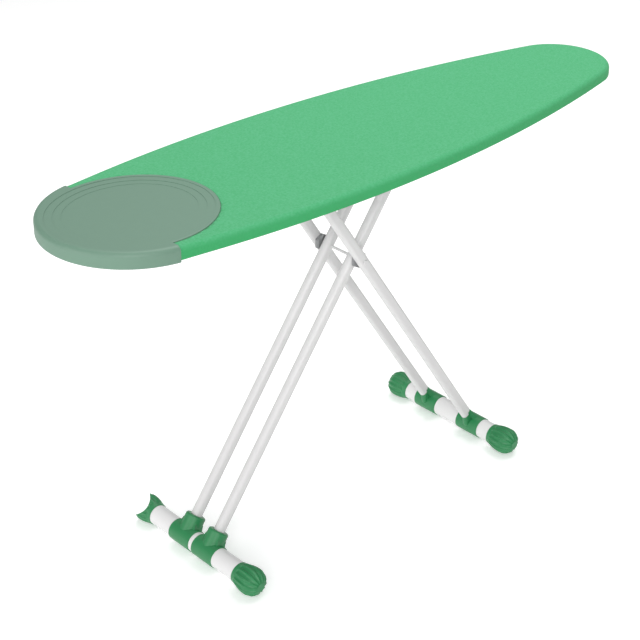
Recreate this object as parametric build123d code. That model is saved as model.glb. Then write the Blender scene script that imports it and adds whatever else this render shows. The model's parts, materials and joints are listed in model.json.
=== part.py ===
from build123d import *
import math
import os

# Folding X-leg ironing board, millimetres.
# Frame: origin on the floor under the middle of the board, +X towards the rounded nose,
# +Y towards the user's far side ("left"), +Z up. The board stands at its ironing height.

# ---------------------------------------------------------------- driving dimensions
# Board outline: a tail arc and a nose arc joined on each side by one flank curve
BOARD_LENGTH = 1326.0
TAIL_RADIUS = 162.0
NOSE_RADIUS = 107.0
TAIL_FLARE = math.radians(6.1)      # angle of the flank where it leaves the tail arc
NOSE_TAPER = math.radians(14.4)     # angle of the flank where it meets the nose arc
TAIL_HANDLE = 61.0                  # lengths of the flank curve's end handles
NOSE_HANDLE = 608.0

# Board layers, from the ironing surface down
BOARD_TOP = 749.0
COVER_THICKNESS = 1.5
COVER_DEPTH = 23.0                  # height of the cover's skirt
COVER_EDGE_RADIUS = 10.0
HEM_WIDTH = 26.0
PAD_THICKNESS = 7.4
PAD_EDGE_RADIUS = 7.0
PANEL_THICKNESS = 0.8
PANEL_INSET = 4.5
HOLE_RADIUS = 7.0
HOLE_PITCH = 54.0
RIM_HEIGHT = 11.0
RIM_WIDTH = 11.0
RIM_WALL = 1.5
STRAP_WIDTH = 22.0
STRAP_HEIGHT = 3.0
STRAP_STATIONS = (-440.0, -235.0, -115.0, 415.0, 530.0)

# Iron rest tray on the tail
TRAY_RISE = 2.0                     # how far the tray stands above the cover
TRAY_PROUD = 0.8
TRAY_DEPTH = 25.8
TRAY_EDGE_RADIUS = 9.0
TRAY_WALL = 2.5
TRAY_SKIRT_END_X = -528.0
TRAY_LOBE_X = -507.0                # centre of the oval lobe that laps over the cover
TRAY_LOBE_HALF_LENGTH = 152.4
TRAY_LOBE_HALF_WIDTH = 140.7
TRAY_STEPS = ((8.0, 0.8), (22.0, 0.7), (36.0, 0.5))   # inset from the lobe, depth of each step
TRAY_SCREW_PLACES = ((-600.0, 96.0), (-600.0, -96.0), (-412.0, 62.0), (-412.0, -62.0))
SCREW_RADIUS = 2.0

# Feet and legs
CAP_RADIUS = 27.2
FOOT_BAR_RADIUS = 20.0
FOOT_BAR_WALL = 1.5
INNER_FOOT_X = -399.2
OUTER_FOOT_X = 291.6
INNER_CAP_Y = 157.0                 # centre of each ball cap
OUTER_CAP_Y = 153.4
CAP_SOCKET = 34.5                   # from the cap's open end to its ball centre
CAP_OVERLAP = 12.0                  # length of foot bar inside a cap
CAP_COLLAR_RADIUS = 21.3
CAP_NECK_RADIUS = 22.4              # where the collar ends and the ball swells out
CAP_COLLAR_LENGTH = 7.0
CAP_POLE_RADIUS = 8.5               # flat disc at the cap's end
FLUTE_COUNT = 14
FLUTE_START = 12.0                  # distance of the flutes' round ends from the cap's open end
FLUTE_RADIUS = 5.8
FLUTE_DEPTH = 2.9
FLUTE_FADE = 2.6                    # the flutes get shallower towards the flat disc
FLUTE_CLIMB = 66.0                  # degrees that each flute runs on up the ball
CAP_RIB_TURN = 360.0 / FLUTE_COUNT / 2   # puts a rib, not a flute, on the floor
SLEEVE_RADIUS = 21.6
SLEEVE_LENGTH = 58.0
LEG_WALL = 1.5
INNER_LEG_Y = 34.0
INNER_LEG_RADIUS = 11.0
OUTER_LEG_Y = 60.8
OUTER_LEG_DEPTH = 23.2              # flat-oval tube: size in the plane of the fold
OUTER_LEG_WIDTH = 15.6              # and across it
OUTER_TUBE_START = 39.5             # from the foot bar's axis to the cut end of the tube
PIVOT_X = -36.6
PIVOT_Z = 520.4

# Hinge, slider and release under the board
HINGE_Z = 718.0
ROD_RADIUS = 4.0
AXLE_RADIUS = 2.8
RUNNING_GAP = 0.08
LEG_OVERRUN = 6.0                   # leg tube past the rod that crosses it
CROSS_TUBE_RADIUS = 7.0
GUIDE_ROD_Z = 728.5
GUIDE_ROD_START_X = 0.0
GUIDE_ROD_END_X = 380.0
LEVER_ROD_OFFSET_X = 26.0
LEVER_ROD_Z = 716.0
BRAKE_TILT = 3.5                    # degrees
GRIP_Y = 82.0                       # the grip starts clear of the outer leg
GRIP_WIDTH = 28.0

# ---------------------------------------------------------------- worked-out places
FOOT_Z = CAP_RADIUS
COVER_BOTTOM = BOARD_TOP - COVER_DEPTH
PAD_TOP = BOARD_TOP - COVER_THICKNESS - 0.1
PANEL_TOP = PAD_TOP - PAD_THICKNESS
PANEL_BOTTOM = PANEL_TOP - PANEL_THICKNESS
TRAY_TOP = BOARD_TOP + TRAY_RISE

INNER_TILT = math.atan2(PIVOT_X - INNER_FOOT_X, PIVOT_Z - FOOT_Z)
OUTER_TILT = math.atan2(OUTER_FOOT_X - PIVOT_X, PIVOT_Z - FOOT_Z)
# Equal distances from the leg pivot to the hinge and to the slider rod make the fold
# an isosceles triangle, so both legs swing by the same angle and the slider runs level.
SPREAD = (INNER_TILT + OUTER_TILT) / 2
LINK = (HINGE_Z - PIVOT_Z) / math.cos(SPREAD)
HINGE_X = PIVOT_X - LINK * math.sin(SPREAD)
SLIDER_X = PIVOT_X + LINK * math.sin(SPREAD)
INNER_REACH = math.hypot(PIVOT_X - INNER_FOOT_X, PIVOT_Z - FOOT_Z) + LINK
OUTER_REACH = math.hypot(PIVOT_X - OUTER_FOOT_X, PIVOT_Z - FOOT_Z) + LINK
LEVER_X = SLIDER_X + LEVER_ROD_OFFSET_X

nodes = {}


# ---------------------------------------------------------------- small helpers
def rod_y(x, z, radius, y0, y1):
    """Cylinder along Y."""
    middle = Location((x, (y0 + y1) / 2, z), (90, 0, 0))
    return middle * Cylinder(radius, abs(y1 - y0))


def rod_x(y, z, radius, x0, x1):
    """Cylinder along X."""
    middle = Location(((x0 + x1) / 2, y, z), (0, 90, 0))
    return middle * Cylinder(radius, abs(x1 - x0))


def block(x0, x1, y0, y1, z0, z1):
    middle = Location(((x0 + x1) / 2, (y0 + y1) / 2, (z0 + z1) / 2))
    return middle * Box(x1 - x0, y1 - y0, z1 - z0)


def on_leg(foot_x, tilt, y):
    """Leg frame: origin on the foot bar's axis, Z up along the leg, Y as the board."""
    return Location((foot_x, y, FOOT_Z), (0, math.degrees(tilt), 0))


def mirrored(shape):
    return mirror(shape, about=Plane.XZ)


def together(shapes):
    return Compound(children=list(shapes))


# ---------------------------------------------------------------- board outline
def board_face(inset, z=0.0):
    """Plan of the board, moved inwards by inset."""
    tail_radius = TAIL_RADIUS - inset
    nose_radius = NOSE_RADIUS - inset
    tail_centre = -BOARD_LENGTH / 2 + TRAY_PROUD + TAIL_RADIUS
    nose_centre = BOARD_LENGTH / 2 - NOSE_RADIUS
    start = Vector(tail_centre - tail_radius * math.sin(TAIL_FLARE), tail_radius * math.cos(TAIL_FLARE))
    end = Vector(nose_centre + nose_radius * math.sin(NOSE_TAPER), nose_radius * math.cos(NOSE_TAPER))
    leave = Vector(math.cos(TAIL_FLARE), math.sin(TAIL_FLARE))
    arrive = Vector(math.cos(NOSE_TAPER), -math.sin(NOSE_TAPER))
    flank = [start, start + leave * TAIL_HANDLE, end - arrive * NOSE_HANDLE, end]
    other = [Vector(p.X, -p.Y) for p in flank]
    tail = ThreePointArc(other[0], (tail_centre - tail_radius, 0), start)
    nose = ThreePointArc(end, (nose_centre + nose_radius, 0), other[3])
    outline = Wire([tail.edge(), Bezier(*flank).edge(), nose.edge(), Bezier(*reversed(other)).edge()])
    return Pos(0, 0, z) * Face(outline)


def board_slab(inset, z0, z1, edge_radius=0.0):
    slab = extrude(board_face(inset, z0), z1 - z0, dir=(0, 0, 1))
    if edge_radius:
        slab = fillet(slab.edges().group_by(Axis.Z)[-1], edge_radius)
    return slab


def tray_lobe(shrink, z0, z1):
    """Oval block the size of the tray's lobe, made smaller all round by shrink."""
    oval = Ellipse(TRAY_LOBE_HALF_LENGTH - shrink, TRAY_LOBE_HALF_WIDTH - shrink)
    return Pos(TRAY_LOBE_X, 0, z0) * extrude(oval, z1 - z0)


def tray_plan(shrink, z0, z1):
    """Plan region of the tray, as a tool: everything behind the skirt's end, and the lobe."""
    behind = block(-BOARD_LENGTH, TRAY_SKIRT_END_X - shrink, -BOARD_LENGTH, BOARD_LENGTH, z0, z1)
    return behind + tray_lobe(shrink, z0, z1)


# ---------------------------------------------------------------- board body
def make_cover():
    shell = board_slab(0, COVER_BOTTOM, BOARD_TOP, COVER_EDGE_RADIUS)
    inside = board_slab(COVER_THICKNESS, COVER_BOTTOM + COVER_THICKNESS, BOARD_TOP - COVER_THICKNESS,
                        COVER_EDGE_RADIUS - COVER_THICKNESS)
    mouth = board_slab(HEM_WIDTH, COVER_BOTTOM - 1, COVER_BOTTOM + COVER_THICKNESS + 1)
    return shell - inside - mouth - tray_plan(0, COVER_BOTTOM - 2, BOARD_TOP + 5)


def make_pad():
    pad = board_slab(COVER_THICKNESS + 0.1, PANEL_TOP, PAD_TOP, PAD_EDGE_RADIUS)
    return pad - tray_plan(0, PANEL_TOP - 1, PAD_TOP + 1)


def clear_of_screws(spot):
    return all(math.hypot(spot.X - x, spot.Y - y) > HOLE_RADIUS + 6 for x, y in TRAY_SCREW_PLACES)


def make_panel():
    """Steel top sheet with staggered round steam holes."""
    face = board_face(PANEL_INSET, PANEL_BOTTOM)
    allowed = board_face(PANEL_INSET + 22, PANEL_BOTTOM)
    holes = []
    row_pitch = HOLE_PITCH * math.sqrt(3) / 2
    columns = int(BOARD_LENGTH / 2 / row_pitch)
    for column in range(-columns, columns + 1):
        x = column * row_pitch
        shift = HOLE_PITCH / 2 if column % 2 else 0.0
        for row in range(-4, 5):
            y = row * HOLE_PITCH + shift
            if allowed.is_inside(Vector(x, y, PANEL_BOTTOM)):
                holes.append(Pos(x, y, PANEL_BOTTOM) * Circle(HOLE_RADIUS).face())
    holes = [hole for hole in holes if clear_of_screws(hole.center())]
    holes += [Pos(x, y, PANEL_BOTTOM) * Circle(SCREW_RADIUS).face() for x, y in TRAY_SCREW_PLACES]
    return extrude(face - holes, PANEL_THICKNESS, dir=(0, 0, 1))


def make_rim():
    """Rolled channel round the edge of the panel, open downwards."""
    bottom = PANEL_BOTTOM - RIM_HEIGHT
    ring = board_slab(PANEL_INSET, bottom, PANEL_BOTTOM, 2.0)
    ring = ring - board_slab(PANEL_INSET + RIM_WIDTH, bottom - 1, PANEL_BOTTOM + 1)
    groove = board_slab(PANEL_INSET + RIM_WALL, bottom - 1, PANEL_BOTTOM - RIM_WALL)
    groove = groove - board_slab(PANEL_INSET + RIM_WIDTH - RIM_WALL, bottom - 2, PANEL_BOTTOM)
    return ring - groove


def make_straps():
    straps = []
    inside = board_slab(PANEL_INSET + RIM_WIDTH, PANEL_BOTTOM - STRAP_HEIGHT, PANEL_BOTTOM)
    for x in STRAP_STATIONS:
        blank = block(x - STRAP_WIDTH / 2, x + STRAP_WIDTH / 2, -BOARD_LENGTH, BOARD_LENGTH,
                      PANEL_BOTTOM - STRAP_HEIGHT, PANEL_BOTTOM)
        straps.append((blank & inside).solid())
    return together(straps)


def make_hem_elastic():
    inset = HEM_WIDTH - 6
    z0 = COVER_BOTTOM + COVER_THICKNESS
    ring = board_slab(inset, z0, z0 + 1.2) - board_slab(inset + 5, z0 - 1, z0 + 3)
    return ring - tray_plan(0, z0 - 2, z0 + 4)


def make_tray():
    """Moulded shell: a skirt round the tail and an oval lobe that laps over the cover."""
    bottom = BOARD_TOP - TRAY_DEPTH
    tail = board_slab(-TRAY_PROUD, bottom, TRAY_TOP, TRAY_EDGE_RADIUS)
    tail = tail & block(-BOARD_LENGTH, TRAY_SKIRT_END_X, -BOARD_LENGTH, BOARD_LENGTH, bottom, TRAY_TOP)
    lobe = tray_lobe(0, PANEL_TOP, TRAY_TOP)
    lobe = fillet(lobe.edges().group_by(Axis.Z)[-1], TRAY_RISE - 0.2)
    plate_bottom = TRAY_TOP - TRAY_WALL - sum(depth for _, depth in TRAY_STEPS)
    hollow = board_slab(TRAY_WALL - TRAY_PROUD, bottom - 1, plate_bottom, TRAY_EDGE_RADIUS - TRAY_WALL)
    hollow = hollow & tray_plan(TRAY_WALL, bottom - 1, plate_bottom)
    under = board_slab(TRAY_WALL - TRAY_PROUD, bottom - 1, PANEL_TOP)
    tray = tail + lobe - hollow - under
    for x, y in TRAY_SCREW_PLACES:
        tray = tray + Pos(x, y, (PANEL_TOP + plate_bottom) / 2) * Cylinder(5.5, plate_bottom - PANEL_TOP)
        tray = tray - Pos(x, y, PANEL_TOP) * Cylinder(SCREW_RADIUS, 2 * (PANEL_BOTTOM + 5 - PANEL_TOP))
    floor = TRAY_TOP
    for inset, depth in TRAY_STEPS:
        floor = floor - depth
        tray = tray - tray_lobe(inset, floor, TRAY_TOP + 1)
    return tray


def make_tray_screws():
    screws = []
    for x, y in TRAY_SCREW_PLACES:
        head = Pos(x, y, PANEL_BOTTOM - 1.25) * Cylinder(4.5, 2.5)
        shank = Pos(x, y, PANEL_BOTTOM + 2.5) * Cylinder(SCREW_RADIUS, 5)
        screws.append(head + shank)
    return together(screws)


def make_hinge_bracket():
    """Pressed angle bracket that carries the hinge rod, on the far side."""
    y0 = OUTER_LEG_Y + OUTER_LEG_WIDTH / 2 + 0.8
    ear = block(HINGE_X - 17, HINGE_X + 17, y0, y0 + 2.5, HINGE_Z, PANEL_BOTTOM)
    ear = ear + rod_y(HINGE_X, HINGE_Z, 11, y0, y0 + 2.5)
    flange = block(HINGE_X - 26, HINGE_X + 26, y0, y0 + 26, PANEL_BOTTOM - 2.5, PANEL_BOTTOM)
    return ear + flange - rod_y(HINGE_X, HINGE_Z, ROD_RADIUS, y0 - 1, y0 + 4)


def make_hinge_caps():
    y0 = OUTER_LEG_Y + OUTER_LEG_WIDTH / 2 + 3.3
    return together(push_cap(HINGE_X, HINGE_Z, side * y0, side) for side in (1, -1))


def push_cap(x, z, y, side):
    """Domed spring cap pressed on a rod's end."""
    dome = rod_y(x, z, 7.0, y, y + side * 4.0)
    dome = fillet(dome.edges().sort_by(Axis.Y)[-1 if side > 0 else 0], 2.6)
    return dome - rod_y(x, z, ROD_RADIUS, y - side, y + side * 2.0)


def make_guide_bracket(x):
    """Channel bracket that holds one end of the guide rod."""
    web = block(x - 1.5, x + 1.5, -13, 13, GUIDE_ROD_Z - 8, PANEL_BOTTOM)
    foot = block(x - 12, x + 12, -30, 30, PANEL_BOTTOM - 2.0, PANEL_BOTTOM)
    return web + foot - rod_x(0, GUIDE_ROD_Z, ROD_RADIUS, x - 3, x + 3)


def make_rivets():
    """Dome-head rivets of the brackets and straps."""
    spots = []
    flange_y = OUTER_LEG_Y + OUTER_LEG_WIDTH / 2 + 17
    for side in (1, -1):
        spots += [(HINGE_X + dx, side * flange_y, 2.5) for dx in (-17, 17)]
        spots += [(x, side * 23, 2.0) for x in (GUIDE_ROD_START_X, GUIDE_ROD_END_X)]
        spots += [(x, side * 60, STRAP_HEIGHT) for x in STRAP_STATIONS]
    rivets = []
    for x, y, below in spots:
        head = Pos(x, y, PANEL_BOTTOM - below - 0.9) * Cylinder(3.5, 1.8)
        rivets.append(fillet(head.edges().group_by(Axis.Z)[0], 1.2))
    return together(rivets)


# ---------------------------------------------------------------- feet
def make_end_cap(centre_y):
    """Ribbed ball cap on the +Y end of a foot bar, built with the ball at the origin."""
    start = -CAP_SOCKET
    pole_y = math.sqrt(CAP_RADIUS ** 2 - CAP_POLE_RADIUS ** 2)
    neck_y = start + CAP_COLLAR_LENGTH
    swell = CAP_RADIUS - CAP_NECK_RADIUS
    swell_arc = (neck_y ** 2 + swell ** 2) / (2 * swell)
    with BuildPart() as cap:
        with BuildSketch(Plane.XY):
            with BuildLine():
                side = RadiusArc((CAP_NECK_RADIUS, neck_y), (CAP_RADIUS, 0), -swell_arc)
                ball = RadiusArc(side @ 1, (CAP_POLE_RADIUS, pole_y), -CAP_RADIUS)
                Polyline(ball @ 1, (0, pole_y), (0, start), (CAP_COLLAR_RADIUS, start), side @ 0)
            make_face()
        revolve(axis=Axis.Y)
    body = cap.part
    # Each flute is a round groove that follows the side, then the ball
    reach = CAP_RADIUS + FLUTE_RADIUS - FLUTE_DEPTH
    side_bend = swell_arc + FLUTE_RADIUS - FLUTE_DEPTH
    side_centre = reach - side_bend
    side_turn = math.degrees(math.asin((CAP_SOCKET - FLUTE_START) / side_bend))
    along_side = CenterArc((side_centre, 0), side_bend, -side_turn, side_turn)
    along_ball = CenterArc((-FLUTE_FADE, 0), reach + FLUTE_FADE, 0, FLUTE_CLIMB)
    flute = Pos(*(along_side @ 0)) * Sphere(FLUTE_RADIUS)
    for path in (along_side, along_ball):
        flute = flute + sweep(Plane(origin=path @ 0, z_dir=path % 0) * Circle(FLUTE_RADIUS), path=path)
    for i in range(FLUTE_COUNT):
        body = body - Rot(0, 360.0 * (i + 0.5) / FLUTE_COUNT, 0) * flute
    bar = rod_y(0, 0, FOOT_BAR_RADIUS, start - 1, start + CAP_OVERLAP)
    return Pos(0, centre_y, FOOT_Z) * Rot(0, CAP_RIB_TURN, 0) * (body - bar)


def make_notched_cap(centre_y):
    """The same cap with a round notch cut slantwise through its end."""
    notch_radius = 33.3
    slant = Plane(origin=(0, centre_y + 46.7, FOOT_Z - 2.0), z_dir=(0.469, 0.669, -0.577))
    return make_end_cap(centre_y) - slant * Cylinder(notch_radius, 300)


def make_foot_bar(half_length):
    tube = rod_y(0, FOOT_Z, FOOT_BAR_RADIUS, -half_length, half_length)
    return tube - rod_y(0, FOOT_Z, FOOT_BAR_RADIUS - FOOT_BAR_WALL, -half_length - 1, half_length + 1)


def flank_web(top_width, z_low, z_high, x0, x1):
    """Web that blends a boss into its sleeve with a concave arc on each side."""
    half_top = top_width / 2
    half_low = SLEEVE_LENGTH / 2 - 1
    with BuildPart() as web:
        with BuildSketch(Plane.YZ.offset(x0)):
            with BuildLine():
                right = RadiusArc((half_low, z_low), (half_top, z_high), 26)
                left = RadiusArc((-half_top, z_high), (-half_low, z_low), 26)
                Line(right @ 1, left @ 0)
                Polyline(left @ 1, (-half_low, 0), (half_low, 0), right @ 0)
            make_face()
        extrude(amount=x1 - x0)
    return web.part


def make_inner_fitting(y):
    """Tee fitting: sleeve on the foot bar and a round boss that the leg tube plugs into."""
    boss_radius = 20.0
    boss_top = 43.0
    place = on_leg(INNER_FOOT_X, INNER_TILT, y)
    sleeve = rod_y(0, 0, SLEEVE_RADIUS, -SLEEVE_LENGTH / 2, SLEEVE_LENGTH / 2)
    sleeve = fillet(sleeve.edges().filter_by(GeomType.CIRCLE), 0.8)
    boss = Pos(0, 0, boss_top / 2) * Cylinder(boss_radius, boss_top)
    boss = fillet(boss.edges().group_by(Axis.Z)[-1], 3.5)
    tee = sleeve + boss + flank_web(2 * boss_radius - 3, 12, 30, -11, 11)
    tee = tee - rod_y(0, 0, FOOT_BAR_RADIUS, -SLEEVE_LENGTH, SLEEVE_LENGTH)
    socket = Pos(0, 0, 21 + boss_top / 2) * Cylinder(INNER_LEG_RADIUS, boss_top)
    return place * (tee - socket)


def flat_oval(depth, width, length):
    """Flat-oval bar along Z from the origin, depth along X and width along Y."""
    return extrude(SlotOverall(depth, width), length)


def make_outer_fitting(y):
    """Saddle fitting: the flat-oval tube ends above the sleeve, over a stem with a front rib."""
    place = on_leg(OUTER_FOOT_X, -OUTER_TILT, y)
    sleeve = rod_y(0, 0, SLEEVE_RADIUS, -SLEEVE_LENGTH / 2, SLEEVE_LENGTH / 2)
    sleeve = fillet(sleeve.edges().filter_by(GeomType.CIRCLE), 0.8)
    saddle = flank_web(OUTER_LEG_WIDTH + 2, 12, OUTER_TUBE_START + 5, 1, 10)
    stem = flat_oval(OUTER_LEG_DEPTH - 1, OUTER_LEG_WIDTH - 1, OUTER_TUBE_START)
    tube_space = Pos(0, 0, OUTER_TUBE_START) * flat_oval(OUTER_LEG_DEPTH, OUTER_LEG_WIDTH, 60)
    inner = 2 * LEG_WALL
    spigot = flat_oval(OUTER_LEG_DEPTH - inner, OUTER_LEG_WIDTH - inner, OUTER_TUBE_START + 22)
    rib_radius = 6.3
    rib_top = Vector(-2.5, 0, OUTER_TUBE_START - 1)
    rib_foot = Vector(-11.5, 0, 17.8)
    lean = rib_top - rib_foot
    rib_frame = Plane(origin=(rib_top + rib_foot) / 2, z_dir=lean)
    rib = rib_frame * Cone(rib_radius, OUTER_LEG_WIDTH / 2 - 0.5, lean.length)
    rib = rib + Pos(*rib_foot) * Sphere(rib_radius)
    tee = sleeve + ((saddle + stem + rib) - tube_space) + spigot
    return place * (tee - rod_y(0, 0, FOOT_BAR_RADIUS, -SLEEVE_LENGTH, SLEEVE_LENGTH))


def make_fitting_screws(foot_x, leg_y):
    """One countersunk screw under each fitting, into the foot bar."""
    screws = []
    for side in (1, -1):
        head = Pos(foot_x, side * leg_y, FOOT_Z - SLEEVE_RADIUS) * Cylinder(3.6, 2.4)
        head = fillet(head.edges().group_by(Axis.Z)[0], 0.9)
        screws.append(head - rod_y(foot_x, FOOT_Z, SLEEVE_RADIUS, -150, 150))
    return together(screws)


# ---------------------------------------------------------------- legs
def make_inner_leg(y):
    start = 21.0
    length = INNER_REACH + LEG_OVERRUN - start
    tube = Pos(0, 0, start + length / 2) * (Cylinder(INNER_LEG_RADIUS, length)
                                            - Cylinder(INNER_LEG_RADIUS - LEG_WALL, length + 2))
    leg = on_leg(INNER_FOOT_X, INNER_TILT, y) * tube
    y0, y1 = y - INNER_LEG_RADIUS - 1, y + INNER_LEG_RADIUS + 1
    leg = leg - rod_y(PIVOT_X, PIVOT_Z, AXLE_RADIUS + RUNNING_GAP, y0, y1)
    return leg - rod_y(SLIDER_X, HINGE_Z, ROD_RADIUS, y0, y1)


def make_outer_leg(y):
    inner = 2 * LEG_WALL
    length = OUTER_REACH + LEG_OVERRUN - OUTER_TUBE_START
    tube = Pos(0, 0, OUTER_TUBE_START) * flat_oval(OUTER_LEG_DEPTH, OUTER_LEG_WIDTH, length)
    bore = Pos(0, 0, OUTER_TUBE_START - 1) * flat_oval(OUTER_LEG_DEPTH - inner, OUTER_LEG_WIDTH - inner, length + 2)
    leg = on_leg(OUTER_FOOT_X, -OUTER_TILT, y) * (tube - bore)
    y0, y1 = y - OUTER_LEG_WIDTH, y + OUTER_LEG_WIDTH
    leg = leg - rod_y(PIVOT_X, PIVOT_Z, AXLE_RADIUS, y0, y1)
    return leg - rod_y(HINGE_X, HINGE_Z, ROD_RADIUS + RUNNING_GAP, y0, y1)


def make_inner_plugs():
    plugs = []
    for side in (1, -1):
        place = on_leg(INNER_FOOT_X, INNER_TILT, side * INNER_LEG_Y)
        head = Pos(0, 0, INNER_REACH + LEG_OVERRUN + 1) * Cylinder(INNER_LEG_RADIUS, 2)
        head = fillet(head.edges().group_by(Axis.Z)[-1], 1.4)
        stem = Pos(0, 0, INNER_REACH + LEG_OVERRUN - 0.6) * Cylinder(INNER_LEG_RADIUS - LEG_WALL, 1.2)
        plugs.append(place * (head + stem))
    return together(plugs)


def make_outer_plugs():
    plugs = []
    for side in (1, -1):
        place = on_leg(OUTER_FOOT_X, -OUTER_TILT, side * OUTER_LEG_Y)
        head = Pos(0, 0, OUTER_REACH + LEG_OVERRUN) * flat_oval(OUTER_LEG_DEPTH, OUTER_LEG_WIDTH, 2)
        head = fillet(head.edges().group_by(Axis.Z)[-1], 1.4)
        plugs.append(place * head)
    return together(plugs)


def make_cross_tube():
    """Tube between the outer legs that turns on the hinge rod."""
    half = OUTER_LEG_Y - OUTER_LEG_WIDTH / 2
    tube = rod_y(HINGE_X, HINGE_Z, CROSS_TUBE_RADIUS, -half, half)
    return tube - rod_y(HINGE_X, HINGE_Z, ROD_RADIUS + RUNNING_GAP, -half - 1, half + 1)


def make_pivot_spacer():
    """Six-sided plastic spacer between the inner and outer leg, on the far side."""
    y0 = INNER_LEG_Y + INNER_LEG_RADIUS + 0.3
    y1 = OUTER_LEG_Y - OUTER_LEG_WIDTH / 2
    across_corners = 17.0
    hexagon = Plane(origin=(PIVOT_X, y0, PIVOT_Z), z_dir=(0, 1, 0)) * RegularPolygon(across_corners, 6)
    body = extrude(hexagon, y1 - y0)
    body = chamfer(body.edges().group_by(Axis.Y)[0], 2.5)
    return body - rod_y(PIVOT_X, PIVOT_Z, AXLE_RADIUS, y0 - 1, y1 + 1)


def make_rod(x, z, half_length, radius=ROD_RADIUS):
    return rod_y(x, z, radius, -half_length, half_length)


def make_axle_head(y, side):
    """Low riveted head on the outer face of an outer leg."""
    head = rod_y(PIVOT_X, PIVOT_Z, 4.6, y, y + side * 2.2)
    head = fillet(head.edges().sort_by(Axis.Y)[-1 if side > 0 else 0], 1.5)
    return head - rod_y(PIVOT_X, PIVOT_Z, AXLE_RADIUS, y - side, y + side)


# ---------------------------------------------------------------- slider and release
def make_carriage():
    """Moulded block that hangs the inner legs from the guide rod and houses the brake."""
    x = SLIDER_X
    body = block(x - 20, x + 36, -19, 19, 705, 733)
    body = fillet(body.edges().filter_by(Axis.Y), 4)
    gap = RUNNING_GAP
    body = body - rod_x(0, GUIDE_ROD_Z, ROD_RADIUS + gap, x - 30, x + 40)
    body = body - rod_y(x, HINGE_Z, ROD_RADIUS + gap, -30, 30)
    body = body - rod_y(LEVER_X, LEVER_ROD_Z, ROD_RADIUS + gap, -30, 30)
    spring_room = block(x - 14, x + 9, -9, 9, 722.6, 740)
    plate_room = block(x + 8, x + 17, -13, 13, 706.5, 740)
    cam_room = block(x + 16, x + 32.5, -5.5, 5.5, 700, 722.5)
    return body - spring_room - plate_room - cam_room


def make_brake_plate():
    """Steel plate that grips the guide rod by tilting; upright when released."""
    top = 734.0
    x = SLIDER_X + 12
    plate = block(x - 1.5, x + 1.5, -11, 11, 708.5, top)
    plate = plate + rod_y(x, top, 1.5, -11, 11)
    plate = plate - rod_x(0, GUIDE_ROD_Z, ROD_RADIUS + 0.7, x - 5, x + 5)
    hinge = Location((x, 0, top))
    return hinge * Rot(0, -BRAKE_TILT, 0) * hinge.inverse() * plate


def make_brake_spring():
    wire = 0.7
    coil_radius = 5.0
    turns = 7
    length = 22.4
    path = Helix(pitch=length / turns, height=length, radius=coil_radius)
    profile = Plane(origin=path @ 0, z_dir=path % 0) * Circle(wire)
    coil = sweep(profile, path=path, is_frenet=True)
    return Location((SLIDER_X - 13.2, 0, GUIDE_ROD_Z), (0, 90, 0)) * coil


def make_lever_rod():
    return rod_y(LEVER_X, LEVER_ROD_Z, ROD_RADIUS, -22, GRIP_Y + GRIP_WIDTH)


def make_lever_cam():
    """Finger on the lever rod that pushes the brake plate upright."""
    tip = Vector(SLIDER_X + 16.6, 0, 709.6)
    hub = rod_y(LEVER_X, LEVER_ROD_Z, 5.8, -4.5, 4.5)
    nose = rod_y(tip.X + 1, tip.Z, 2.0, -4.5, 4.5)
    dx = tip.X + 1 - LEVER_X
    dz = tip.Z - LEVER_ROD_Z
    middle = Location((LEVER_X + dx / 2, 0, LEVER_ROD_Z + dz / 2), (0, -math.degrees(math.atan2(dz, dx)), 0))
    arm = middle * Box(math.hypot(dx, dz), 9, 4)
    return hub + nose + arm - rod_y(LEVER_X, LEVER_ROD_Z, ROD_RADIUS, -6, 6)


def make_lever_grip():
    """Moulded paddle under the board, squeezed up to release the brake."""
    drop = 7.0
    paddle = block(-86, 8, 0, GRIP_WIDTH, -6, 6)
    paddle = fillet(paddle.edges().filter_by(Axis.Z), 7)
    paddle = fillet(paddle.edges().group_by(Axis.Z)[0] + paddle.edges().group_by(Axis.Z)[-1], 3.5)
    for i in range(6):
        paddle = paddle - rod_y(-76 + 10 * i, -7.2, 2.6, -1, GRIP_WIDTH + 1)
    place = Location((LEVER_X, GRIP_Y, LEVER_ROD_Z), (0, -drop, 0))
    return place * paddle - rod_y(LEVER_X, LEVER_ROD_Z, ROD_RADIUS, GRIP_Y - 1, GRIP_Y + GRIP_WIDTH)


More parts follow.
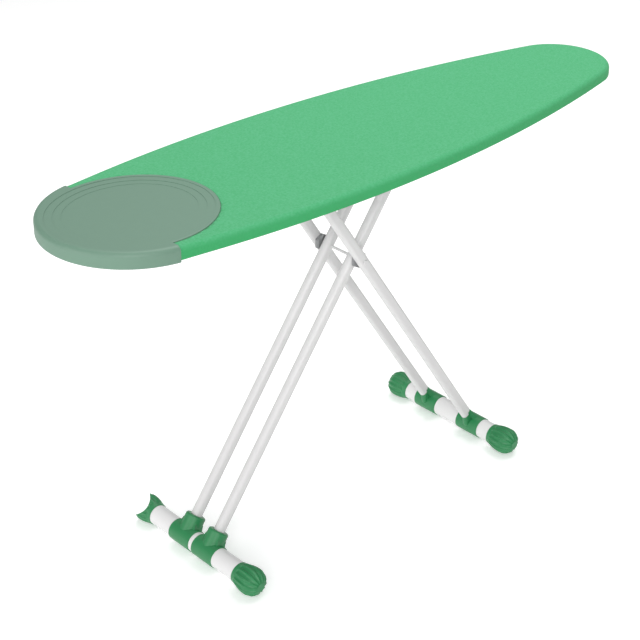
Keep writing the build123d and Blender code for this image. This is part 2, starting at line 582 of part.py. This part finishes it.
# ---------------------------------------------------------------- assembly
def build():
    nodes["cover"] = make_cover()
    nodes["pad"] = make_pad()
    nodes["top_panel"] = make_panel()
    nodes["rim_frame"] = make_rim()
    nodes["cross_straps"] = make_straps()
    nodes["hem_elastic"] = make_hem_elastic()
    nodes["iron_tray"] = make_tray()
    nodes["tray_screws"] = make_tray_screws()
    bracket = make_hinge_bracket()
    nodes["hinge_bracket_left"] = bracket
    nodes["hinge_bracket_right"] = mirrored(bracket)
    nodes["hinge_rod"] = make_rod(HINGE_X, HINGE_Z, OUTER_LEG_Y + OUTER_LEG_WIDTH / 2 + 5.3)
    nodes["hinge_rod_caps"] = make_hinge_caps()
    nodes["guide_rod"] = rod_x(0, GUIDE_ROD_Z, ROD_RADIUS, GUIDE_ROD_START_X - 5, GUIDE_ROD_END_X + 5)
    nodes["guide_bracket_tail"] = make_guide_bracket(GUIDE_ROD_START_X)
    nodes["guide_bracket_nose"] = make_guide_bracket(GUIDE_ROD_END_X)
    nodes["bracket_rivets"] = make_rivets()

    nodes["outer_foot_bar"] = Pos(OUTER_FOOT_X, 0, 0) * make_foot_bar(OUTER_CAP_Y - CAP_SOCKET + CAP_OVERLAP)
    nodes["inner_foot_bar"] = Pos(INNER_FOOT_X, 0, 0) * make_foot_bar(INNER_CAP_Y - CAP_SOCKET + CAP_OVERLAP)
    outer_cap = Pos(OUTER_FOOT_X, 0, 0) * make_end_cap(OUTER_CAP_Y)
    nodes["outer_end_cap_left"] = outer_cap
    nodes["outer_end_cap_right"] = mirrored(outer_cap)
    nodes["inner_end_cap_left"] = Pos(INNER_FOOT_X, 0, 0) * make_notched_cap(INNER_CAP_Y)
    nodes["inner_end_cap_right"] = mirrored(Pos(INNER_FOOT_X, 0, 0) * make_end_cap(INNER_CAP_Y))
    for side, name in ((1, "left"), (-1, "right")):
        nodes[f"outer_leg_{name}"] = make_outer_leg(side * OUTER_LEG_Y)
        nodes[f"inner_leg_{name}"] = make_inner_leg(side * INNER_LEG_Y)
        nodes[f"outer_foot_fitting_{name}"] = make_outer_fitting(side * OUTER_LEG_Y)
        nodes[f"inner_foot_fitting_{name}"] = make_inner_fitting(side * INNER_LEG_Y)
    nodes["outer_fitting_screws"] = make_fitting_screws(OUTER_FOOT_X, OUTER_LEG_Y)
    nodes["inner_fitting_screws"] = make_fitting_screws(INNER_FOOT_X, INNER_LEG_Y)
    nodes["outer_leg_plugs"] = make_outer_plugs()
    nodes["inner_leg_plugs"] = make_inner_plugs()
    nodes["outer_cross_tube"] = make_cross_tube()

    pivot_half = OUTER_LEG_Y + OUTER_LEG_WIDTH / 2
    nodes["pivot_axle"] = make_rod(PIVOT_X, PIVOT_Z, pivot_half + 1, AXLE_RADIUS)
    spacer = make_pivot_spacer()
    nodes["pivot_spacer_left"] = spacer
    nodes["pivot_spacer_right"] = mirrored(spacer)
    nodes["pivot_axle_heads"] = together(make_axle_head(side * pivot_half, side) for side in (1, -1))

    rod_half = INNER_LEG_Y + INNER_LEG_RADIUS
    nodes["slider_rod"] = make_rod(SLIDER_X, HINGE_Z, rod_half + 2)
    nodes["slider_rod_caps"] = together(push_cap(SLIDER_X, HINGE_Z, side * rod_half, side) for side in (1, -1))
    nodes["slide_carriage"] = make_carriage()
    nodes["brake_plate"] = make_brake_plate()
    nodes["brake_spring"] = make_brake_spring()
    nodes["lever_rod"] = make_lever_rod()
    nodes["lever_cam"] = make_lever_cam()
    nodes["lever_grip"] = make_lever_grip()


build()
os.makedirs("parts", exist_ok=True)
for node_name, shape in nodes.items():
    export_step(shape, f"parts/{node_name}.step")
print(f"spread {math.degrees(SPREAD):.3f} deg, link {LINK:.2f}, hinge x {HINGE_X:.2f}, slider x {SLIDER_X:.2f}")
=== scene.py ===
"""Folding ironing board: soft parts, materials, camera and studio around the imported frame. Metres."""

import json
import math

import bpy
from mathutils import Matrix, Vector, noise


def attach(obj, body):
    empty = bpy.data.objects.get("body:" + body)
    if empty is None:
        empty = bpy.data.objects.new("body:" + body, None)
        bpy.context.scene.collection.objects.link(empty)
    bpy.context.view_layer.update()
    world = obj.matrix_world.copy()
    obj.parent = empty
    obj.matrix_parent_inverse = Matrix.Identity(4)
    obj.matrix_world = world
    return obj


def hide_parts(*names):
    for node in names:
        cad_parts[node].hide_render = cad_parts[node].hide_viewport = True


# ---------------------------------------------------------------- the board's plan, as in the frame
BOARD_LENGTH = 1.326
TAIL_RADIUS = 0.162
NOSE_RADIUS = 0.107
TAIL_FLARE = math.radians(6.1)
NOSE_TAPER = math.radians(14.4)
TAIL_HANDLE = 0.061
NOSE_HANDLE = 0.608
TRAY_PROUD = 0.0008

BOARD_TOP = 0.749
COVER_BOTTOM = 0.726
COVER_EDGE_RADIUS = 0.010
FABRIC_THICKNESS = 0.0012
PAD_TOP = 0.7474
PAD_BOTTOM = 0.7400
PAD_EDGE_RADIUS = 0.006
PAD_INSET = 0.0018       # from the plan to the pad's side
ELASTIC_OUTER = 0.0195   # insets of the band's two edges from the plan
ELASTIC_INNER = 0.0250
PUCKER = 0.013           # wavelength of the hem's gathers
TRAY_SKIRT_END_X = -0.528
TRAY_LOBE_X = -0.507
TRAY_LOBE_HALF_LENGTH = 0.1524
TRAY_LOBE_HALF_WIDTH = 0.1407
FIT_GAP = 0.0002         # between a cut fabric edge and the tray

SAMPLES = 300            # points along one side of the plan
STRIPS = 18              # faces across the middle of the plan
CORE_INSET = 0.092       # the rings stop here and strips fill the middle


# ---------------------------------------------------------------- start
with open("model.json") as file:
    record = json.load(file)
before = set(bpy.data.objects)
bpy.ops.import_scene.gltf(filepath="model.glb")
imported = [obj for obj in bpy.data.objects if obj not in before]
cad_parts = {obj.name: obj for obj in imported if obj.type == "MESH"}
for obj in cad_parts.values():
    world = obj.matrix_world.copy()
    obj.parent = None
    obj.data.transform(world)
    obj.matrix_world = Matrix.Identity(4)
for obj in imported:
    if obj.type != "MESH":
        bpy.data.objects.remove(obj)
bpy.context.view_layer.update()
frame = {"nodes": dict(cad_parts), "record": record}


# ---------------------------------------------------------------- plan curve
def half_plan():
    """Points and outward normals of the plan's +Y half, from the tail tip to the nose tip."""
    tail = Vector((-BOARD_LENGTH / 2 + TRAY_PROUD + TAIL_RADIUS, 0))
    nose = Vector((BOARD_LENGTH / 2 - NOSE_RADIUS, 0))
    leave = Vector((math.cos(TAIL_FLARE), math.sin(TAIL_FLARE)))
    arrive = Vector((math.cos(NOSE_TAPER), -math.sin(NOSE_TAPER)))
    start = tail + TAIL_RADIUS * Vector((-leave.y, leave.x))
    end = nose + NOSE_RADIUS * Vector((-arrive.y, arrive.x))
    handles = (start, start + leave * TAIL_HANDLE, end - arrive * NOSE_HANDLE, end)
    tail_sweep = math.pi / 2 - TAIL_FLARE
    nose_sweep = math.pi / 2 - NOSE_TAPER
    lengths = (TAIL_RADIUS * tail_sweep, (end - start).length, NOSE_RADIUS * nose_sweep)
    counts = [max(12, round(SAMPLES * part / sum(lengths))) for part in lengths]
    places = []
    for i in range(counts[0]):
        angle = math.pi - tail_sweep * i / counts[0]
        normal = Vector((math.cos(angle), math.sin(angle)))
        places.append((tail + TAIL_RADIUS * normal, normal))
    for i in range(counts[1]):
        point, tangent = bezier(handles, i / counts[1])
        places.append((point, Vector((-tangent.y, tangent.x)).normalized()))
    for i in range(counts[2] + 1):
        angle = nose_sweep * (1 - i / counts[2])
        normal = Vector((math.cos(angle), math.sin(angle)))
        places.append((nose + NOSE_RADIUS * normal, normal))
    return places


def bezier(handles, t):
    a, b, c, d = handles
    s = 1 - t
    point = a * s ** 3 + b * (3 * s * s * t) + c * (3 * s * t * t) + d * t ** 3
    tangent = (b - a) * (3 * s * s) + (c - b) * (6 * s * t) + (d - c) * (3 * t * t)
    return point, tangent


PLAN = half_plan()


def ring(inset, z, ripple):
    """One closed ring of points; ripple(x, y, along) gives a small move (outwards, up)."""
    upper = []
    along = 0.0
    last = PLAN[0][0]
    for point, normal in PLAN:
        along += (point - last).length
        last = point
        upper.append((point - normal * inset, normal, along))
    lower = [(Vector((p.x, -p.y)), Vector((n.x, -n.y)), -s) for p, n, s in upper[-2:0:-1]]
    ringed = []
    for point, normal, s in upper + lower:
        out, up = ripple(point.x, point.y, s)
        ringed.append((point.x + normal.x * out, point.y + normal.y * out, z + up))
    return ringed


def skin(name, profile, ripples, cap_first=False, cap_last=False, loop=False):
    """Mesh of rings stacked along profile, a list of (inset, z); strips close the ends."""
    vertices, faces = [], []
    count = 2 * len(PLAN) - 2
    for (inset, z), ripple in zip(profile, ripples):
        vertices += ring(inset, z, ripple)
    rows = len(profile)
    for r in range(rows if loop else rows - 1):
        a, b = r * count, (r + 1) % rows * count
        for i in range(count):
            j = (i + 1) % count
            faces.append((a + i, a + j, b + j, b + i))
    if cap_first:
        fill_with_strips(vertices, faces, 0, count, flip=False)
    if cap_last:
        fill_with_strips(vertices, faces, (rows - 1) * count, count, flip=True)
    mesh = bpy.data.meshes.new(name)
    mesh.from_pydata(vertices, [], faces)
    mesh.validate()
    obj = bpy.data.objects.new(name, mesh)
    bpy.context.scene.collection.objects.link(obj)
    recalculate_normals(obj)
    mesh.shade_smooth()
    return obj


def fill_with_strips(vertices, faces, base, count, flip):
    """Closes a ring with strips of faces from one side of the plan to the other."""
    half = count // 2
    rows = []
    for i in range(half + 1):
        if i in (0, half):
            rows.append([base + i])
            continue
        left, right = Vector(vertices[base + i]), Vector(vertices[base + count - i])
        row = [base + i]
        for k in range(1, STRIPS):
            vertices.append(tuple(left.lerp(right, k / STRIPS)))
            row.append(len(vertices) - 1)
        rows.append(row + [base + count - i])
    for near, far in zip(rows, rows[1:]):
        for k in range(STRIPS):
            if len(near) == 1:
                face = (near[0], far[k], far[k + 1])
            elif len(far) == 1:
                face = (near[k], far[0], near[k + 1])
            else:
                face = (near[k], far[k], far[k + 1], near[k + 1])
            faces.append(face if flip else tuple(reversed(face)))


def recalculate_normals(obj):
    bpy.ops.object.select_all(action="DESELECT")
    bpy.context.view_layer.objects.active = obj
    obj.select_set(True)
    bpy.ops.object.mode_set(mode="EDIT")
    bpy.ops.mesh.select_all(action="SELECT")
    bpy.ops.mesh.normals_make_consistent(inside=False)
    bpy.ops.object.mode_set(mode="OBJECT")


def apply_modifiers(obj):
    bpy.context.view_layer.objects.active = obj
    for modifier in list(obj.modifiers):
        bpy.ops.object.modifier_apply(modifier=modifier.name)


def tray_cutters():
    """The space the iron tray fills: an oval lobe, and everything behind the end of its skirt."""
    bpy.ops.mesh.primitive_cylinder_add(vertices=360, radius=1, depth=0.12,
                                        location=(TRAY_LOBE_X, 0, BOARD_TOP))
    lobe = bpy.context.object
    lobe.scale = (TRAY_LOBE_HALF_LENGTH + FIT_GAP, TRAY_LOBE_HALF_WIDTH + FIT_GAP, 1)
    bpy.ops.mesh.primitive_cube_add(size=1, location=(TRAY_SKIRT_END_X + FIT_GAP - 0.2, 0, BOARD_TOP))
    behind = bpy.context.object
    behind.scale = (0.4, 0.6, 0.13)
    bpy.context.view_layer.update()
    return lobe, behind


def cut_for_tray(obj, cutters):
    for cutter in cutters:
        boolean = obj.modifiers.new("tray", "BOOLEAN")
        boolean.operation = "DIFFERENCE"
        boolean.solver = "EXACT"
        boolean.object = cutter
    apply_modifiers(obj)


# ---------------------------------------------------------------- soft parts
def still(x, y, along):
    return 0.0, 0.0


def cushion(amount, wavelength):
    """Slow swell of felt under a stretched cover."""
    def ripple(x, y, along):
        return 0.0, amount * noise.noise(Vector((x / wavelength, y / wavelength, 3.1)))
    return ripple


def gather(out, up, wavelength):
    """Small puckers where elastic draws the hem in."""
    def ripple(x, y, along):
        phase = 2 * math.pi * along / wavelength
        wander = 2.2 * noise.noise(Vector((along / wavelength / 4, 0.5, 7.7)))
        wave = math.sin(phase + wander)
        size = 0.65 + 0.35 * noise.noise(Vector((along * 9, 4.0, 1.0)))
        return out * wave * size, up * wave * size
    return ripple


def make_cover():
    """Rings from the gathered hem under the rim, up the skirt and over the edge to the flat top."""
    hem = [(0.0265, COVER_BOTTOM + 0.0006, gather(0.0008, 0.0011, PUCKER)),
           (0.0235, COVER_BOTTOM + 0.0003, gather(0.0006, 0.0012, PUCKER)),
           (0.0195, COVER_BOTTOM + 0.0002, gather(0.0005, 0.0010, PUCKER)),
           (0.0140, COVER_BOTTOM + 0.0002, gather(0.0003, 0.0007, PUCKER)),
           (0.0080, COVER_BOTTOM + 0.0000, gather(0.0002, 0.0003, PUCKER)),
           (0.0034, COVER_BOTTOM - 0.0001, still),
           (0.0009, COVER_BOTTOM + 0.0000, still),
           (0.0001, COVER_BOTTOM + 0.0006, gather(0.0001, 0.0, 0.031)),
           (0.0000, COVER_BOTTOM + 0.0022, gather(0.0002, 0.0, 0.031)),
           (0.0000, COVER_BOTTOM + 0.0070, gather(0.0001, 0.0, 0.047))]
    centre_z = BOARD_TOP - COVER_EDGE_RADIUS
    steps = 9
    edge = []
    for i in range(steps + 1):
        angle = math.pi / 2 * i / steps
        inset = COVER_EDGE_RADIUS * (1 - math.cos(angle))
        edge.append((inset, centre_z + COVER_EDGE_RADIUS * math.sin(angle), still))
    insets = (0.0135, 0.018, 0.024, 0.031, 0.039, 0.048, 0.058, 0.069, 0.080, CORE_INSET)
    top = [(inset, BOARD_TOP, cushion(0.0003, 0.07)) for inset in insets]
    rows = hem + edge + top
    cover = skin("cover_fabric", [row[:2] for row in rows], [row[2] for row in rows], cap_last=True)
    thick = cover.modifiers.new("thickness", "SOLIDIFY")
    thick.thickness = FABRIC_THICKNESS
    thick.offset = -1.0
    thick.use_even_offset = True
    apply_modifiers(cover)
    return cover


def make_pad():
    """Closed felt slab, a little inside the plan, with a round upper edge."""
    centre_z = PAD_TOP - PAD_EDGE_RADIUS
    rows = [(CORE_INSET, PAD_BOTTOM), (0.060, PAD_BOTTOM), (0.030, PAD_BOTTOM), (0.012, PAD_BOTTOM),
            (0.0036, PAD_BOTTOM + 0.0001), (0.0022, PAD_BOTTOM + 0.0006)]
    steps = 6
    for i in range(steps + 1):
        angle = math.pi / 2 * i / steps
        inset = PAD_INSET + PAD_EDGE_RADIUS * (1 - math.cos(angle))
        rows.append((inset, centre_z + PAD_EDGE_RADIUS * math.sin(angle)))
    rows += [(0.012, PAD_TOP), (0.030, PAD_TOP), (0.060, PAD_TOP), (CORE_INSET, PAD_TOP)]
    return skin("pad_felt", rows, [still] * len(rows), cap_first=True, cap_last=True)


def make_elastic():
    """Flat band inside the hem, puckered with it."""
    low, high = COVER_BOTTOM + 0.0019, COVER_BOTTOM + 0.0029
    rows = [(ELASTIC_OUTER, low), (ELASTIC_INNER, low), (ELASTIC_INNER, high), (ELASTIC_OUTER, high)]
    return skin("hem_elastic_band", rows, [gather(0.0004, 0.0004, PUCKER)] * 4, loop=True)


cutters = tray_cutters()
cover = make_cover()
pad = make_pad()
elastic = make_elastic()
for soft in (cover, pad, elastic):
    cut_for_tray(soft, cutters)
    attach(soft, "board")
for cutter in cutters:
    bpy.data.objects.remove(cutter)

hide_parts("cover")
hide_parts("pad")
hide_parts("hem_elastic")


# ---------------------------------------------------------------- materials
def linear(red, green, blue):
    """Linear colour from 0-255 screen values."""
    def channel(value):
        value /= 255
        return value / 12.92 if value <= 0.04045 else ((value + 0.055) / 1.055) ** 2.4
    return channel(red), channel(green), channel(blue), 1.0


def shade(colour, factor):
    return tuple(min(1.0, channel * factor) for channel in colour[:3]) + (1.0,)


def surface(name, colour, roughness, metallic=0.0, coat=0.0, sheen=0.0, specular=0.5,
            tone=0.0, pale_lit=None, tone_scale=60.0, grain=0.0, grain_scale=400.0):
    """Principled material; tone or a paler colour mottles it (for the cloth, a colour lightened with
    painted light), and grain roughens the relief.
    """
    material = bpy.data.materials.new(name)
    material.use_nodes = True
    tree = material.node_tree
    shader = tree.nodes["Principled BSDF"]
    shader.inputs["Roughness"].default_value = roughness
    shader.inputs["Metallic"].default_value = metallic
    shader.inputs["Coat Weight"].default_value = coat
    shader.inputs["Sheen Weight"].default_value = sheen
    shader.inputs["Specular IOR Level"].default_value = specular
    shader.inputs["Base Color"].default_value = colour
    if not (tone or pale_lit or grain):
        return material
    place = tree.nodes.new("ShaderNodeTexCoord")
    if tone or pale_lit:
        blotch = texture(tree, place, tone_scale, 4.0)
        mix = tree.nodes.new("ShaderNodeMix")
        mix.data_type = "RGBA"
        mix.inputs["A"].default_value = shade(colour, 1 - tone)
        mix.inputs["B"].default_value = pale_lit or shade(colour, 1 + tone)
        tree.links.new(blotch.outputs["Fac"], mix.inputs["Factor"])
        tree.links.new(mix.outputs["Result"], shader.inputs["Base Color"])
    if grain:
        relief = texture(tree, place, grain_scale, 3.0)
        bump = tree.nodes.new("ShaderNodeBump")
        bump.inputs["Strength"].default_value = 1.0
        bump.inputs["Distance"].default_value = grain
        tree.links.new(relief.outputs["Fac"], bump.inputs["Height"])
        tree.links.new(bump.outputs["Normal"], shader.inputs["Normal"])
    return material


def texture(tree, place, scale, detail):
    node = tree.nodes.new("ShaderNodeTexNoise")
    node.inputs["Scale"].default_value = scale
    node.inputs["Detail"].default_value = detail
    tree.links.new(place.outputs["Object"], node.inputs["Vector"])
    return node


def mottle_and_light_the_top(tree, place, contrast):
    """Blend the random mottle towards the paler green, a green lightened with painted light, where the
    cloth lies flat and faces up; the skirt stays deep.
    """
    mix = tree.nodes["Mix"]
    blotch = mix.inputs["Factor"].links[0].from_socket
    axes = tree.nodes.new("ShaderNodeSeparateXYZ")
    tree.links.new(place.outputs["Normal"], axes.inputs["Vector"])
    sharper = tree.nodes.new("ShaderNodeMath")
    sharper.operation = "MULTIPLY_ADD"
    sharper.inputs[1].default_value = contrast
    sharper.inputs[2].default_value = 0.5 - 0.5 * contrast
    tree.links.new(blotch, sharper.inputs[0])
    # painted light: the mottle is scaled by how far the normal faces up, so the top is painted lighter
    # than the skirt
    painted_light_on_top = tree.nodes.new("ShaderNodeMath")
    painted_light_on_top.operation = "MULTIPLY"
    tree.links.new(sharper.outputs["Value"], painted_light_on_top.inputs[0])
    tree.links.new(axes.outputs["Z"], painted_light_on_top.inputs[1])
    tree.links.new(painted_light_on_top.outputs["Value"], mix.inputs["Factor"])


def woven(name, deep, pale_lit):
    """Cotton cloth: a fine cross weave, a soft nap, and dye mottled at random, with painted light
    making the flat top paler than the skirt.
    """
    material = surface(name, deep, 0.85, sheen=0.06, specular=0.2, pale_lit=pale_lit, tone_scale=250.0)
    tree = material.node_tree
    shader = tree.nodes["Principled BSDF"]
    place = tree.nodes["Texture Coordinate"]
    mottle_and_light_the_top(tree, place, 1.35)
    heights = []
    for direction in ("X", "Y"):
        wave = tree.nodes.new("ShaderNodeTexWave")
        wave.bands_direction = direction
        wave.inputs["Scale"].default_value = 380.0
        wave.inputs["Distortion"].default_value = 0.6
        wave.inputs["Detail"].default_value = 1.0
        tree.links.new(place.outputs["Object"], wave.inputs["Vector"])
        heights.append(wave)
    weave = tree.nodes.new("ShaderNodeMath")
    weave.operation = "MULTIPLY"
    for socket, wave in zip(weave.inputs, heights):
        tree.links.new(wave.outputs["Fac"], socket)
    nap = texture(tree, place, 320.0, 5.0)
    total = tree.nodes.new("ShaderNodeMath")
    total.operation = "ADD"
    tree.links.new(weave.outputs["Value"], total.inputs[0])
    tree.links.new(nap.outputs["Fac"], total.inputs[1])
    bump = tree.nodes.new("ShaderNodeBump")
    bump.inputs["Strength"].default_value = 0.5
    bump.inputs["Distance"].default_value = 0.0003
    tree.links.new(total.outputs["Value"], bump.inputs["Height"])
    tree.links.new(bump.outputs["Normal"], shader.inputs["Normal"])
    return material


finishes = {
    # cover_cotton: the deep green is the dye; the pale green is the dye lightened with painted light
    # for the cloth's top
    "cover_cotton": woven("cover_cotton", linear(58, 158, 97), linear(92, 176, 131)),
    "pad_felt": surface("pad_felt", linear(226, 224, 214), 0.95, sheen=0.3, tone=0.06, grain=0.0004),
    "panel_steel": surface("panel_steel", linear(205, 208, 210), 0.45, coat=0.1, grain=0.00004),
    "frame_steel": surface("frame_steel", linear(232, 232, 232), 0.35, coat=0.2, grain=0.00003),
    "elastic_white": surface("elastic_white", linear(238, 238, 234), 0.8, grain=0.0002,
                             grain_scale=900.0),
    "tray_plastic": surface("tray_plastic", linear(100, 132, 114), 0.5, tone=0.02, grain=0.00005,
                            grain_scale=900.0),
    "leg_white": surface("leg_white", linear(201, 200, 200), 0.42, coat=0.1, grain=0.00002),
    "foot_white": surface("foot_white", linear(216, 215, 215), 0.38, coat=0.1, grain=0.00002),
    "green_plastic": surface("green_plastic", linear(36, 122, 72), 0.42, tone=0.03, grain=0.00004,
                             grain_scale=700.0),
    "grey_plastic": surface("grey_plastic", linear(127, 128, 129), 0.5, grain=0.00004,
                            grain_scale=700.0),
    "zinc_steel": surface("zinc_steel", linear(196, 198, 200), 0.32, metallic=1.0, tone=0.05,
                          tone_scale=90.0),
    "spring_steel": surface("spring_steel", linear(150, 152, 156), 0.28, metallic=1.0),
}


def dress(obj, slot_name):
    obj.data.materials.clear()
    obj.data.materials.append(finishes[slot_name])


for part in frame["record"]["subparts"]:
    dress(frame["nodes"][part["node"]], part["material_slot"])
dress(cover, "cover_cotton")
dress(pad, "pad_felt")
dress(elastic, "elastic_white")


# ---------------------------------------------------------------- camera
camera_data = bpy.data.cameras.new("camera")
camera_data.lens = 91.97
camera_data.sensor_width = 36.0
camera_data.sensor_fit = "HORIZONTAL"
camera_data.clip_end = 50.0
camera = bpy.data.objects.new("camera", camera_data)
camera.location = (-1.9102, -1.9963, 1.8834)
camera.rotation_euler = (math.radians(61.094), 0.0, math.radians(-42.395))
bpy.context.scene.collection.objects.link(camera)
bpy.context.scene.camera = camera


# ---------------------------------------------------------------- studio
def area_light(name, place, target, size, power):
    data = bpy.data.lights.new(name, "AREA")
    data.shape = "SQUARE"
    data.size = size
    data.energy = power
    light = bpy.data.objects.new(name, data)
    light.location = place
    aim = Vector(target) - Vector(place)
    light.rotation_euler = aim.to_track_quat("-Z", "Y").to_euler()
    bpy.context.scene.collection.objects.link(light)


area_light("key", (-3.8, -4.0, 3.4), (0, 0, 0.45), 3.0, 203)
area_light("fill", (-5.5, 0.8, 1.8), (0, 0, 0.5), 3.0, 95)
area_light("top", (1.1, 0.4, 3.8), (0.3, 0, 0.7), 3.0, 105)

world = bpy.data.worlds.new("studio")
world.use_nodes = True
background = world.node_tree.nodes["Background"]
background.inputs["Color"].default_value = (1.0, 1.0, 1.0, 1.0)
background.inputs["Strength"].default_value = 0.36
bpy.context.scene.world = world

bpy.ops.mesh.primitive_plane_add(size=30, location=(0, 0, -0.0005))
floor = bpy.context.object
floor.name = "studio_floor"
backdrop = surface("studio_floor", (0.93, 0.93, 0.93, 1.0), 0.9)
backdrop_shader = backdrop.node_tree.nodes["Principled BSDF"]
backdrop_shader.inputs["Emission Color"].default_value = (1.0, 1.0, 1.0, 1.0)
backdrop_shader.inputs["Emission Strength"].default_value = 0.27
floor.data.materials.append(backdrop)

bpy.context.scene.view_settings.view_transform = "Standard"
